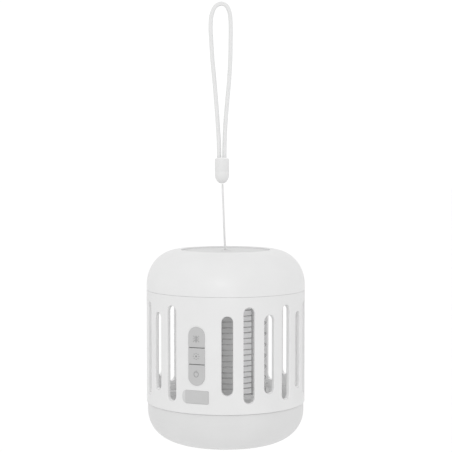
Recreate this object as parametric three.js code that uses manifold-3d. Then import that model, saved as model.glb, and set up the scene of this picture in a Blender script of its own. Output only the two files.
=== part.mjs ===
// Hanging electric bug zapper: a round white lantern on a cord loop. A slotted cage guards a high
// voltage wire grid wound round an ultraviolet core, the battery and boards sit in the domed cap, and
// the domed base is the insect tray, which twists off.
//
// Millimetres, +Z up. The origin is where the cord loop hangs on its hook. The lantern is built in a
// group of its own, whose z = 0 is the seam between cage and base and whose front faces -Y.
import * as THREE from 'three';
import { mergeVertices } from 'three/addons/utils/BufferGeometryUtils.js';
import Module from 'manifold-3d';

const wasm = await Module();
wasm.setup();

// ---- Driving dimensions -------------------------------------------------------------------------
const gap = 0.3; // between pieces that touch
const slip = 0.35; // all round a piece that moves in an opening
const wall = 2; // moulded plastic wall of the cap, the base and the core
const cageWall = 2.5;
const roundSides = 48; // facets round the casing

const cageDiameter = 90;
const cageHeight = 63.5;
const capRise = 22.4; // from the cap seam to the cap's top face
const capSkirt = 2.2; // straight wall above the cap seam
const capTopRadius = 26.1; // where the dome turns into the top face
const capBulge = 2.07; // exponent of the cap's superellipse
const baseStep = 0.6; // how far the base stands in from the cage
const baseDepth = 23.2;
const baseSkirt = 4; // straight wall below the lower seam
const baseFlatRadius = 22;
const baseBulge = 2.17;

// The slots run round from the controls in three runs, with a wide rib between runs: [slots, degrees
// from slot to slot].
const slotRuns = [[8, 15.45], [11, 14.5], [3, 15.2]];
const slotWidth = 6.4;
const longSlotMargin = 5.7; // from each end of the cage to a long slot
const shortSlotMargin = 10.3;
const panelAngle = -20.5; // degrees round from the front, where the controls are
const panelLeftGap = 20.7; // degrees from the controls to the slot on their left
const panelRightGap = 21.6;

const plateRadius = 25; // disc let into the cap's top
const plateThickness = 1.6;
const plateSunk = 0.8;
const eyeletRadius = 1.5;

const buttonWidth = 9.5;
const buttonHeights = [11.6, 9.1, 11.4]; // bottom, middle, top
const buttonsLow = 15.4; // height of the lowest button's end
const buttonProud = 1;
const buttonTravel = 0.8;
const flapHeight = 7.9;
const flapLow = 5;
const flapLeft = 8; // from the panel's centre to the pull tab's end
const flapRight = 6.9; // from the panel's centre to the hinge
const flapProud = 0.7;
const flapSunk = 1.2; // depth of the flap's pocket in the cage
const flapCorner = 1.8;
const flangeReach = 0.9; // of a button's hidden flange beyond its face
const flangeDepth = 1.8;
const flangeRoom = 0.95; // from the flange to the pod's wall
const stemRadius = 1.2;

const ledgeDrop = 0.9; // from the cage's rim to its inner ledge
const ledgeThickness = 1.4;
const ledgeWidth = 2.2;
const deckThickness = 1.5;
const neckHeight = 3.9; // the tray's neck, which stands inside the cage
const neckWall = 1.6;
const lugHeight = 1.8;
const lugReach = 1.3;
const lugHalfAngle = 4;
const lugAngles = [40, 160, 280];
const trayTurn = 22; // degrees from locked to free

const gridRadius = 23.2; // of the outer, live wires
const gridStep = 1; // from the live wires in to the return wires
const wireRadius = 0.3;
const wireTurns = 17;
const wireMargin = 0.8; // from each holder to the nearest wire
const postRadius = 0.45;
const weldDepth = 0.3; // how far a post sinks into its own wires
const postAngle = 39;
const returnPostTurn = -45; // from the live posts round to the return posts
const holderThickness = 1.6;
const holderRim = 0.9; // of the holders outside the posts
const coreClearance = 0.94; // from the core's corners to the posts
const stripWidth = 9;
const stripThickness = 1.2;
const stripMargin = 0.5; // from each holder to a strip's end
const diodesPerStrip = 6;
const diodeHalf = 1.4;
const diodeRise = 0.7; // of a diode above its strip

const podWall = 1.2;
const podDepth = 11.8; // from the cage's inner face towards the grid
const boardThickness = 1.2;
const switchSide = 6;
const switchDepth = 2.6;
const plungerRadius = 1.5;
const plungerReach = 3.6; // from the board side of a switch to its plunger's tip
const socketWidth = 9;
const socketHeight = 3.3;
const socketDepth = 7.4;
const socketSkin = 0.4;
const socketRoom = 0.7; // beside the socket in the cage's opening

const batteryRadius = 9.1;
const batteryLength = 65;
const batteryBack = 12; // behind the axis
const bossRadius = 3;
const bossSunk = 0.15; // into the cap's spigot
const bossAngles = [60, 180, 300];
const screwRadius = 1.3;
const screwHeadRadius = 2.8;
const screwLength = 8.5;
const screwRoom = 0.2; // round a screw in its boss
const screwLoose = 0.4; // round a screw in the deck
const mainBoardSize = [40, 22];
const mainBoardThickness = 1.6;
const mainBoardBack = 3; // from the axis to the board's back edge, in front of it
const pillarRadius = 2; // the two posts that the main board stands on
const pillarHeight = 2.5;
const pillarPlace = [15, -14];
const transformerSize = [14, 13, 9.2];
const transformerPlace = [11, -15.5];
const capacitorRadius = 4;
const capacitorHeight = 10.7;
const capacitorPlace = [-9, -14];

const footInner = 14;
const footOuter = 20;
const footThickness = 1.1;
const footProud = 0.4;

const loopCord = 2.4;
const stringCord = 1.1;
const stopperRadius = 4.05;
const stopperLow = -99.9;
const stopperHigh = -85.7;
const stopperCentre = 1.75;
const knotRadius = 1.9;
const knotBelow = 4.6; // from the eyelet plate's middle to the knot's centre
const lampAcross = 3.87; // from the hook to the lantern's axis
const hookAboveCap = 137.3; // from the cap's top face up to the hook

// Chosen routes of the two cords, from the hook, in millimetres: [x, z].
const loopRoute = [
  [0.25, -85.4], [0.11, -83.8], [-0.12, -75.3], [-0.8, -64], [-1.65, -52.7], [-2.56, -41.4],
  [-3.63, -30.2], [-4.32, -19], [-4.65, -13.4], [-4.5, -7.8], [-3.9, -4.4], [-2.4, -0.9], [0, 0.95],
  [2.3, 1.15], [4.5, -0.3], [5.95, -3.4], [6.55, -7.8], [6.7, -13.4], [6.64, -19], [6.45, -30.2],
  [5.79, -41.4], [4.82, -52.7], [3.85, -64], [3.3, -75.3], [3.15, -83.8], [3.1, -85.4],
];
const stringRoute = [
  [3.87, -141.2], [3.8, -138.4], [3.4, -134.5], [3.1, -128], [2.78, -120.6], [2.4, -109.3],
  [2.1, -102.5], [2.05, -100.2],
];

// ---- Sizes worked out from them -----------------------------------------------------------------
const cageRadius = cageDiameter / 2;
const cageInner = cageRadius - cageWall;
const cutStart = cageInner / 2; // cutters for the cage start well inside it
const baseRadius = cageRadius - baseStep;
const capSeam = cageHeight + gap;
const capTop = capSeam + capRise;
const hookAboveSeam = capTop + hookAboveCap;
const plateTop = capTop - plateSunk;
const plateBottom = plateTop - plateThickness;
const ledgeTop = cageHeight - ledgeDrop;
const ledgeBottom = ledgeTop - ledgeThickness;
const ledgeInner = cageInner - ledgeWidth;
const spigotOuter = ledgeInner - slip;
const spigotInner = spigotOuter - neckWall;
const bossCircle = spigotInner - bossRadius + bossSunk;
const deckTop = ledgeBottom - gap;
const deckBottom = deckTop - deckThickness;
const topHolderHigh = deckBottom - gap;
const topHolderLow = topHolderHigh - holderThickness;
const lowHolderLow = neckHeight + 0.4;
const lowHolderHigh = lowHolderLow + holderThickness;
const postOffset = wireRadius + postRadius - weldDepth;
const innerGridRadius = gridRadius - gridStep;
const holderRadius = gridRadius + postOffset + postRadius + holderRim;
const coreCorner = innerGridRadius - postOffset - postRadius - coreClearance;
const coreSide = coreCorner * Math.SQRT2;
const neckOuter = cageInner - slip;
const neckInner = neckOuter - neckWall;
const lugLow = neckHeight / 2 - lugHeight / 2;
const buttonsHigh = buttonsLow + buttonHeights.reduce((sum, height) => sum + height, 0);
const flapMiddle = flapLow + flapHeight / 2;
const podFront = cageInner - gap;
const podBack = cageInner - podDepth - gap;
const podLow = lowHolderLow;
const podHigh = buttonsHigh + gap + podWall;
const podInside = buttonWidth / 2 + flangeReach + flangeRoom;
const podHalf = podInside + podWall;
const switchFace = podBack + podWall + gap + boardThickness + gap;

// ---- Materials ----------------------------------------------------------------------------------
const finish = (color, roughness, metalness = 0) =>
  new THREE.MeshStandardMaterial({ color, roughness, metalness });
const whiteCap = finish(0xeeeeee, 0.42);
const whiteCage = finish(0xebebeb, 0.45);
const whiteBase = finish(0xe4e4e4, 0.45);
const paleDisc = finish(0xe2e2e2, 0.5);
const greyButton = finish(0xc3c3c3, 0.5);
const greyRubber = finish(0xc1c1c1, 0.7);
const innerPlastic = finish(0xd9d9d6, 0.55);
const steel = finish(0xb4b6b8, 0.3, 0.9);
const greenBoard = finish(0x2f6b45, 0.6);
const darkStrip = finish(0x85888c, 0.5);
const blackPart = finish(0x2b2b2d, 0.6);
const batteryWrap = finish(0x3f7fb5, 0.4);
const whiteCord = finish(0xe6e6e6, 0.9);

// ---- Solids and shapes --------------------------------------------------------------------------
const radians = THREE.MathUtils.degToRad;

// A geometry with shared corners merged and triangles without area left out.
function welded(geometry) {
  const bare = geometry.clone();
  bare.deleteAttribute('normal');
  bare.deleteAttribute('uv');
  const merged = mergeVertices(bare);
  const corners = merged.index.array;
  const kept = [];
  for (let i = 0; i < corners.length; i += 3) {
    const [a, b, c] = [corners[i], corners[i + 1], corners[i + 2]];
    if (a !== b && b !== c && c !== a) kept.push(a, b, c);
  }
  merged.setIndex(kept);
  return merged;
}

function solid(geometry) {
  const mesh = welded(geometry);
  const vertProperties = new Float32Array(mesh.attributes.position.array);
  const triVerts = new Uint32Array(mesh.index.array);
  return new wasm.Manifold(new wasm.Mesh({ numProp: 3, vertProperties, triVerts }));
}

function geometryOf(body) {
  const mesh = body.getMesh();
  const geometry = new THREE.BufferGeometry();
  geometry.setAttribute('position', new THREE.BufferAttribute(new Float32Array(mesh.vertProperties), 3));
  geometry.setIndex(new THREE.BufferAttribute(new Uint32Array(mesh.triVerts), 1));
  geometry.computeVertexNormals();
  return geometry;
}

const join = (bodies) => bodies.reduce((whole, body) => whole.add(body));
const cut = (body, tools) => tools.reduce((rest, tool) => rest.subtract(tool), body);

// A closed outline of [radius, height] points turned about Z, listed anticlockwise.
function turned(profile, sides = roundSides) {
  const points = profile.map(([radius, height]) => new THREE.Vector2(radius, height));
  if (profile[0][0] > 0) points.push(points[0].clone());
  return solid(new THREE.LatheGeometry(points, sides).rotateX(Math.PI / 2));
}

const ring = (inner, outer, low, high, sides = roundSides) =>
  turned([[inner, low], [outer, low], [outer, high], [inner, high]], sides);
const disc = (radius, low, high, sides = roundSides) =>
  turned([[0, low], [radius, low], [radius, high], [0, high]], sides);

const block = ([x0, x1], [y0, y1], [z0, z1]) => solid(
  new THREE.BoxGeometry(x1 - x0, y1 - y0, z1 - z0)
    .translate((x0 + x1) / 2, (y0 + y1) / 2, (z0 + z1) / 2));

const rod = (radius, x, y, low, high, sides = 12) => disc(radius, low, high, sides).translate([x, y, 0]);

// A rounded rectangle seen from the front, as a prism from depth `near` to `far` before the axis.
function frontPrism([x0, x1], [z0, z1], radius, near, far, segments = 2) {
  const shape = new THREE.Shape();
  shape.absarc(x1 - radius, z0 + radius, radius, -Math.PI / 2, 0);
  shape.absarc(x1 - radius, z1 - radius, radius, 0, Math.PI / 2);
  shape.absarc(x0 + radius, z1 - radius, radius, Math.PI / 2, Math.PI);
  shape.absarc(x0 + radius, z0 + radius, radius, Math.PI, Math.PI * 1.5);
  const prism = new THREE.ExtrudeGeometry(shape, {
    depth: far - near, bevelEnabled: false, curveSegments: segments,
  });
  return solid(prism.rotateX(Math.PI / 2).translate(0, -near, 0));
}

// A rod that points straight forward from the axis.
const frontRod = (radius, x, z, near, far, sides = 12) => solid(
  new THREE.CylinderGeometry(radius, radius, far - near, sides).translate(x, -(near + far) / 2, z));

// A piece of a ring between two angles, in degrees round from the front.
function sector(inner, outer, [from, to], low, high) {
  const [start, end] = [radians(from - 90), radians(to - 90)];
  const shape = new THREE.Shape();
  shape.absarc(0, 0, outer, start, end, false);
  shape.absarc(0, 0, inner, end, start, true);
  const slab = new THREE.ExtrudeGeometry(shape, {
    depth: high - low, bevelEnabled: false, curveSegments: 3,
  });
  return solid(slab.translate(0, 0, low));
}

// Where something sits at an angle round from the front.
const around = (radius, angle) => [radius * Math.sin(radians(angle)), -radius * Math.cos(radians(angle))];

// A quarter of a superellipse from its widest point to its pole.
function quarter(centre, height, across, rise, exponent, steps = 6) {
  const points = [];
  for (let step = 0; step <= steps; step += 1) {
    const turn = (step / steps) * (Math.PI / 2);
    points.push([
      centre + across * Math.cos(turn) ** (2 / exponent),
      height + rise * Math.sin(turn) ** (2 / exponent),
    ]);
  }
  return points;
}

function named(name, body, material) {
  const mesh = new THREE.Mesh(body.isBufferGeometry ? body : geometryOf(body), material);
  mesh.name = name;
  return mesh;
}

// ---- Cap ----------------------------------------------------------------------------------------
function capShell() {
  const shoulder = capSeam + capSkirt;
  const outer = quarter(capTopRadius, shoulder, cageRadius - capTopRadius, capTop - shoulder, capBulge);
  const ceiling = plateBottom - gap - wall;
  const inner = quarter(
    capTopRadius, shoulder, cageInner - capTopRadius, capTop - wall - shoulder, capBulge)
    .filter(([, height]) => height < ceiling)
    .reverse();
  const pocket = plateRadius + gap;
  const shell = turned([
    [spigotOuter, deckTop + gap], [spigotOuter, capSeam], [cageRadius, capSeam], ...outer,
    [pocket, capTop], [pocket, plateBottom - gap], [pocket - wall, plateBottom - gap],
    [pocket - wall, ceiling], [inner[0][0], ceiling], ...inner, [spigotInner, shoulder],
    [spigotInner, deckTop + gap],
  ]);
  const bossTop = ceiling - wall;
  const bosses = bossAngles.map((angle) =>
    rod(bossRadius, ...around(bossCircle, angle), deckTop + gap, bossTop, 16));
  const dome = turned([[0, deckTop], ...outer, [0, capTop]]);
  const pilots = bossAngles.map((angle) =>
    rod(screwRadius + screwRoom, ...around(bossCircle, angle), deckTop, deckTop + screwLength + 1));
  return cut(join([shell, ...bosses.map((boss) => boss.intersect(dome))]), pilots);
}

const topPlate = () => cut(disc(plateRadius, plateBottom, plateTop), [
  rod(eyeletRadius, 0, 0, plateBottom - 1, plateTop + 1, 20),
]);

function chassisDeck() {
  const holes = bossAngles.map((angle) =>
    rod(screwRadius + screwLoose, ...around(bossCircle, angle), deckBottom - 1, deckTop + 1));
  const [across, back] = pillarPlace;
  const pillars = [-1, 1].map((side) =>
    rod(pillarRadius, side * across, back, deckTop - 1, deckTop + pillarHeight));
  return cut(join([disc(cageInner - gap, deckBottom, deckTop), ...pillars]), holes);
}

const deckScrew = () => join([
  disc(screwHeadRadius, -1.5, 0, 16),
  disc(screwRadius, -0.5, screwLength, 12),
]);

function batteryCradle() {
  const low = deckTop + gap;
  const centre = low + podWall + gap + batteryRadius;
  const tray = block([-batteryLength * 0.4, batteryLength * 0.4],
    [batteryBack - batteryRadius - 1.8, batteryBack + batteryRadius + 1.8], [low, centre - 2]);
  return cut(tray, [batteryCylinder(centre, batteryRadius + gap, batteryLength)]);
}

const batteryCylinder = (height, radius, length) => solid(
  new THREE.CylinderGeometry(radius, radius, length, 24)
    .rotateZ(Math.PI / 2).translate(0, batteryBack, height));

function batteryCell() {
  const centre = deckTop + 2 * gap + podWall + batteryRadius;
  const tip = solid(new THREE.CylinderGeometry(2.6, 2.6, 2, 16)
    .rotateZ(Math.PI / 2).translate(batteryLength / 2 - 0.5, batteryBack, centre));
  return join([batteryCylinder(centre, batteryRadius, batteryLength - 2), tip]);
}

const mainBoardLow = deckTop + pillarHeight + gap;
const partsLow = mainBoardLow + mainBoardThickness + gap;
const mainBoard = () => block([-mainBoardSize[0] / 2, mainBoardSize[0] / 2],
  [-mainBoardBack - mainBoardSize[1], -mainBoardBack],
  [mainBoardLow, mainBoardLow + mainBoardThickness]);

function transformer() {
  const [[x, y], [width, depth, height]] = [transformerPlace, transformerSize];
  return block([x - width / 2, x + width / 2], [y - depth / 2, y + depth / 2],
    [partsLow, partsLow + height]);
}

const capacitor = () =>
  rod(capacitorRadius, ...capacitorPlace, partsLow, partsLow + capacitorHeight, 20);

// ---- Cage ---------------------------------------------------------------------------------------
function slotAngles() {
  const covered = slotRuns.reduce((sum, [count, pitch]) => sum + (count - 1) * pitch, 0);
  const wideRib = (360 - panelLeftGap - panelRightGap - covered) / (slotRuns.length - 1);
  const angles = [];
  let start = panelAngle + panelRightGap;
  slotRuns.forEach(([count, pitch]) => {
    for (let slot = 0; slot < count; slot += 1) angles.push(start + slot * pitch);
    start += (count - 1) * pitch + wideRib;
  });
  return angles;
}

// Short and long slots take turns.
function slotCutters() {
  return slotAngles().map((angle, index) => {
    const margin = index % 2 === 0 ? shortSlotMargin : longSlotMargin;
    const half = slotWidth / 2;
    const slot = frontPrism([-half, half], [margin, cageHeight - margin], half - 0.01,
      cutStart, cageRadius + 2);
    return slot.rotate([0, 0, angle]);
  });
}

function cage() {
  const tube = turned([
    [cageInner, 0], [cageRadius, 0], [cageRadius, cageHeight], [cageInner, cageHeight],
    [cageInner, ledgeTop], [ledgeInner, ledgeTop], [ledgeInner, ledgeBottom], [cageInner, ledgeBottom],
  ]);
  const lugs = lugAngles.map((angle) => sector(cageInner - lugReach, cageInner + wall / 2,
    [angle - lugHalfAngle, angle + lugHalfAngle], lugLow, lugLow + lugHeight));
  const half = buttonWidth / 2 + slip;
  const buttonHole = frontPrism([-half, half], [buttonsLow - slip, buttonsHigh + slip], half - 0.01,
    cutStart, cageRadius + 2);
  const pocketOutline = frontPrism([-flapLeft - gap, flapRight + gap],
    [flapLow - gap, flapLow + flapHeight + gap], flapCorner + gap, cutStart, cageRadius + 2);
  const pocket = pocketOutline.intersect(ring(cageRadius - flapSunk, cageRadius + 3, 0, cageHeight));
  const reach = socketWidth / 2 + socketRoom;
  const socketHole = frontPrism([-reach, reach],
    [flapMiddle - socketHeight / 2 - slip, flapMiddle + socketHeight / 2 + slip], 1,
    cutStart, cageRadius + 2);
  const cutters = [buttonHole, pocket, socketHole].map((tool) => tool.rotate([0, 0, panelAngle]));
  return cut(join([tube, ...lugs]), [...slotCutters(), ...cutters]);
}

// ---- Controls, built facing the front and turned to the panel ------------------------------------
function controlPod() {
  const shell = block([-podHalf, podHalf], [-cageRadius, -podBack], [podLow, podHigh]);
  const divider = buttonsLow - gap - podWall;
  const rooms = [[podLow + podWall, divider], [divider + podWall, podHigh - podWall]].map(([low, high]) =>
    block([-podInside, podInside], [-cageRadius - 1, -podBack - podWall], [low, high]));
  return cut(shell, rooms).intersect(disc(podFront, podLow, podHigh));
}

const buttonBoard = () => block([-podInside + gap, podInside - gap],
  [-podBack - podWall - gap - boardThickness, -podBack - podWall - gap],
  [buttonsLow + gap, buttonsHigh - gap]);

function buttonSpans() {
  let low = buttonsLow;
  return buttonHeights.map((height) => {
    const span = [low + gap / 2, low + height - gap / 2];
    low += height;
    return span;
  });
}

function switchUnit([low, high]) {
  const middle = (low + high) / 2;
  const half = switchSide / 2;
  return join([
    block([-half, half], [-switchFace - switchDepth, -switchFace], [middle - half, middle + half]),
    frontRod(plungerRadius, 0, middle, switchFace + switchDepth / 2, switchFace + plungerReach),
  ]);
}

function button([low, high]) {
  const half = buttonWidth / 2;
  const skin = ring(cageInner - gap - 0.2, cageRadius + buttonProud, low, high);
  const pill = frontPrism([-half, half], [buttonsLow, buttonsHigh], half - 0.01,
    cutStart, cageRadius + 5, 4);
  const flange = block([-half - flangeReach, half + flangeReach],
    [-cageInner, gap + flangeDepth - cageInner],
    [Math.max(low, buttonsLow + 1), Math.min(high, buttonsHigh - 1)])
    .intersect(disc(cageInner - gap, low, high));
  const stem = frontRod(stemRadius, 0, (low + high) / 2,
    switchFace + plungerReach + gap + buttonTravel, cageInner - 1);
  return join([skin.intersect(pill), flange, stem]);
}

function portFlap() {
  const plate = frontPrism([-flapLeft, flapRight], [flapLow, flapLow + flapHeight], flapCorner,
    cutStart, cageRadius + 5)
    .intersect(ring(cageRadius - flapSunk + gap, cageRadius + flapProud, 0, cageHeight));
  const plugHalf = socketWidth / 2 - 0.4;
  const plug = frontPrism([-plugHalf, plugHalf],
    [flapMiddle - socketHeight / 2 + gap, flapMiddle + socketHeight / 2 - gap], 0.8,
    cageInner - 0.1, cageRadius - 0.5);
  return join([plate, plug]);
}

function usbSocket() {
  const half = socketWidth / 2;
  const [low, high] = [flapMiddle - socketHeight / 2, flapMiddle + socketHeight / 2];
  const front = podFront - gap;
  const shell = frontPrism([-half, half], [low, high], 1.2, front - socketDepth, front);
  const mouth = frontPrism([-half + socketSkin, half - socketSkin], [low + socketSkin, high - socketSkin],
    0.9, front - socketDepth + 1, front + 1);
  const tongue = block([-half + 1.5, half - 1.5], [-front + 1, -front + socketDepth - 0.5],
    [flapMiddle - 0.35, flapMiddle + 0.35]);
  return join([cut(shell, [mouth]), tongue]);
}

const chargeBoard = () => block([-podInside + gap, podInside - gap],
  [-podFront + 2.5, -podBack - podWall - gap],
  [flapMiddle + socketHeight / 2 + gap, flapMiddle + socketHeight / 2 + gap + boardThickness]);

// ---- Killing grid and light core ----------------------------------------------------------------
function lowHolder() {
  const plate = disc(holderRadius, lowHolderLow, lowHolderHigh, 32);
  const arms = lugAngles.map((angle) => block([-2.5, 2.5], [-cageRadius, -holderRadius + 3],
    [lowHolderLow, lowHolderHigh]).rotate([0, 0, angle]));
  return join([plate, ...arms]).intersect(disc(cageInner - gap, lowHolderLow, lowHolderHigh));
}

// The core's square post passes through the upper holder.
const topHolder = () => ring(coreCorner + slip, holderRadius, topHolderLow, topHolderHigh, 32);

// Every other turn of wire belongs to the live half and the rest to the return half.
function wireGrid(first, radius, postCircle, firstPost) {
  const [low, high] = [lowHolderHigh + wireMargin, topHolderLow - wireMargin];
  const pitch = (high - low) / (wireTurns - 1);
  const turns = [];
  for (let turn = first; turn < wireTurns; turn += 2) {
    const loop = solid(new THREE.TorusGeometry(radius, wireRadius, 4, 20));
    turns.push(loop.translate([0, 0, low + turn * pitch]));
  }
  const posts = [0, 90, 180, 270].map((step) =>
    rod(postRadius, ...around(postCircle, firstPost + step), lowHolderHigh + gap, topHolderLow - gap, 8));
  return join([...turns, ...posts]);
}

const liveWires = () => wireGrid(0, gridRadius, gridRadius + postOffset, postAngle);
const returnWires = () =>
  wireGrid(1, innerGridRadius, innerGridRadius - postOffset, postAngle + returnPostTurn);

function lightCore() {
  const half = coreSide / 2;
  const [low, high] = [lowHolderHigh + gap, deckBottom - gap];
  const post = block([-half, half], [-half, half], [low, high]);
  return cut(post, [block([-half + wall, half - wall], [-half + wall, half - wall], [low + wall, high + 1])]);
}

function lightStrip() {
  const front = coreSide / 2 + gap + stripThickness;
  const [low, high] = [lowHolderHigh + stripMargin, topHolderLow - stripMargin];
  const board = block([-stripWidth / 2, stripWidth / 2], [-front, -front + stripThickness], [low, high]);
  const chips = Array.from({ length: diodesPerStrip }, (unused, index) => {
    const middle = low + ((index + 0.5) * (high - low)) / diodesPerStrip;
    return block([-diodeHalf, diodeHalf], [-front - diodeRise, -front + 0.2],
      [middle - diodeHalf, middle + diodeHalf]);
  });
  return join([board, ...chips]);
}

// ---- Base ---------------------------------------------------------------------------------------
function baseTray() {
  const outer = quarter(baseFlatRadius, -baseSkirt - gap, baseRadius - baseFlatRadius,
    -(baseDepth - baseSkirt - gap), baseBulge).reverse();
  const inner = quarter(baseFlatRadius, -baseSkirt - gap, neckInner - baseFlatRadius,
    -(baseDepth - baseSkirt - gap - wall), baseBulge);
  const cup = turned([
    [0, -baseDepth], ...outer, [baseRadius, -gap], [neckOuter, -gap], [neckOuter, neckHeight],
    [neckInner, neckHeight], ...inner, [0, -baseDepth + wall],
  ]);
  const groove = ring(footInner - gap, footOuter + gap, -baseDepth - 1,
    -baseDepth + footThickness - footProud + gap);
  const play = lugHalfAngle + 1.5;
  const channels = lugAngles.flatMap((angle) => [
    sector(neckInner - 1, neckOuter + 1, [angle - trayTurn - play, angle + play],
      lugLow - slip, lugLow + lugHeight + slip),
    sector(neckInner - 1, neckOuter + 1, [angle - trayTurn - play, angle - trayTurn + play],
      lugLow, neckHeight + 1),
  ]);
  return cut(cup, [groove, ...channels]);
}

const footPad = () =>
  ring(footInner, footOuter, -baseDepth - footProud, -baseDepth - footProud + footThickness, 32);

// ---- Cord ---------------------------------------------------------------------------------------
function cordTube(route, diameter, steps) {
  const curve = new THREE.CatmullRomCurve3(route.map(([x, z]) => new THREE.Vector3(x, 0, z)));
  const section = new THREE.Shape();
  section.absarc(0, 0, diameter / 2, 0, Math.PI * 2);
  return solid(new THREE.ExtrudeGeometry(section, { extrudePath: curve, steps, curveSegments: 4 }));
}

function stopper() {
  const nose = stopperLow + 5.5;
  const tip = quarter(0, nose, stopperRadius, stopperLow - nose, 2.2, 6).reverse();
  return turned([
    ...tip, [stopperRadius, stopperHigh - 0.6], [stopperRadius - 0.6, stopperHigh], [0, stopperHigh],
  ], 24);
}

// ---- Assembly -----------------------------------------------------------------------------------
const lantern = new THREE.Group();
lantern.position.set(lampAcross, 0, -hookAboveSeam);
lantern.add(
  named('cap_shell', capShell(), whiteCap),
  named('top_plate', topPlate(), paleDisc),
  named('chassis_deck', chassisDeck(), innerPlastic),
  named('battery_cradle', batteryCradle(), innerPlastic),
  named('battery_cell', batteryCell(), batteryWrap),
  named('main_board', mainBoard(), greenBoard),
  named('hv_transformer', transformer(), blackPart),
  named('hv_capacitor', capacitor(), blackPart),
  named('cage', cage(), whiteCage),
  named('grid_holder_top', topHolder(), innerPlastic),
  named('grid_holder_bottom', lowHolder(), innerPlastic),
  named('grid_wires_live', liveWires(), steel),
  named('grid_wires_return', returnWires(), steel),
  named('light_core', lightCore(), innerPlastic),
  named('base_tray', baseTray(), whiteBase),
  named('foot_pad', footPad(), greyRubber),
);
bossAngles.forEach((angle, index) => {
  const screw = named(`deck_screw_${index + 1}`, deckScrew(), steel);
  screw.position.set(...around(bossCircle, angle), deckBottom - gap);
  lantern.add(screw);
});
['front', 'right', 'back', 'left'].forEach((side, index) => {
  const strip = named(`uv_strip_${side}`, lightStrip(), darkStrip);
  strip.rotation.z = (index * Math.PI) / 2;
  lantern.add(strip);
});

const panel = new THREE.Group();
panel.rotation.z = radians(panelAngle);
panel.add(
  named('control_pod', controlPod(), innerPlastic),
  named('button_board', buttonBoard(), greenBoard),
  named('charge_board', chargeBoard(), greenBoard),
  named('usb_socket', usbSocket(), steel),
  named('port_flap', portFlap(), greyRubber),
);
['bottom', 'middle', 'top'].forEach((place, index) => {
  const span = buttonSpans()[index];
  panel.add(
    named(`button_${place}`, button(span), greyButton),
    named(`switch_${place}`, switchUnit(span), blackPart),
  );
});
lantern.add(panel);

const strap = new THREE.Group();
const stopperMesh = named('strap_stopper', stopper(), whiteCord);
stopperMesh.position.x = stopperCentre;
const knotMesh = named('string_knot', new THREE.IcosahedronGeometry(knotRadius, 1), whiteCord);
knotMesh.position.set(lampAcross, 0, plateTop - plateThickness / 2 - knotBelow - hookAboveSeam);
strap.add(
  named('strap_loop', cordTube(loopRoute, loopCord, 44), whiteCord),
  named('strap_string', cordTube(stringRoute, stringCord, 16), whiteCord),
  stopperMesh,
  knotMesh,
);

const bugZapper = new THREE.Group();
bugZapper.add(strap, lantern);
export default bugZapper;
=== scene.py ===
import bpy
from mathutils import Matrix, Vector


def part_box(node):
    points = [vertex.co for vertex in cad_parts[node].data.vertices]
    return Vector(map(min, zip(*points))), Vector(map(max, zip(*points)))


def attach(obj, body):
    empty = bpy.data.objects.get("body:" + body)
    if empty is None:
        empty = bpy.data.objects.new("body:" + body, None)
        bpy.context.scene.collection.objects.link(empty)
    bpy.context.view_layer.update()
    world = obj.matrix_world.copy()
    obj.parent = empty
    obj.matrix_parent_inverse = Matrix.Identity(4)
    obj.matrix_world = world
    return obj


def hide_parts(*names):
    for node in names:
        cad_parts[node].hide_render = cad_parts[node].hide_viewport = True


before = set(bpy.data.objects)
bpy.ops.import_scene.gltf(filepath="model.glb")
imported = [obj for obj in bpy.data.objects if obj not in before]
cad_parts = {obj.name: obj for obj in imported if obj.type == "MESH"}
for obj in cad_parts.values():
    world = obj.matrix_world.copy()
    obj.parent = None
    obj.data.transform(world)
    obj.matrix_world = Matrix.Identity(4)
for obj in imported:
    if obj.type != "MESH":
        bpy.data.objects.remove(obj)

"""Looks of a hanging electric bug zapper: a white slotted lantern on a cord loop.

Shapes are worked out in millimetres round the lantern's axis, with z = 0 at the seam between cage
and base and the front at -Y, and placed in the row frame by place().
"""
from math import atan2, cos, degrees, hypot, pi, radians, sin, tau

import bmesh
import bpy
from mathutils import Vector

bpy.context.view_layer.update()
MM = 0.001

# ---- Where the CAD parts are ---------------------------------------------------------------------
cage_low, cage_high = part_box("cage")
AXIS_X = (cage_low.x + cage_high.x) / 2
SEAM_Z = cage_low.z
RADIUS = (cage_high.x - cage_low.x) / 2 / MM
CAGE_TOP = (cage_high.z - cage_low.z) / MM


def height(node, corner):
    """A node's lowest (0) or highest (1) point above the seam, in millimetres."""
    return (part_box(node)[corner].z - SEAM_Z) / MM


SEAM_GAP = 0.06  # drawn between cap and cage, finer than the solids' own gap
CAP_LOW = CAGE_TOP + SEAM_GAP
CAP_TOP = height("cap_shell", 1)
PLATE_TOP = height("top_plate", 1)
PLATE_LOW = height("top_plate", 0)
PLATE_RADIUS = (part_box("top_plate")[1].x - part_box("top_plate")[0].x) / 2 / MM
BASE_RADIUS = (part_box("base_tray")[1].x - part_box("base_tray")[0].x) / 2 / MM
BASE_LOW = height("base_tray", 0)
NECK_TOP = height("base_tray", 1)
BUTTONS = {name: (height(f"button_{name}", 0), height(f"button_{name}", 1))
           for name in ("bottom", "middle", "top")}
FLAP_TRIM = 0.5  # from the flap's solid up to the drawn flap's lower edge
FLAP_LOW, FLAP_TOP = height("port_flap", 0) + FLAP_TRIM, height("port_flap", 1)
FLAP_LEFT, FLAP_RIGHT = 6.7, 6.9

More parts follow.
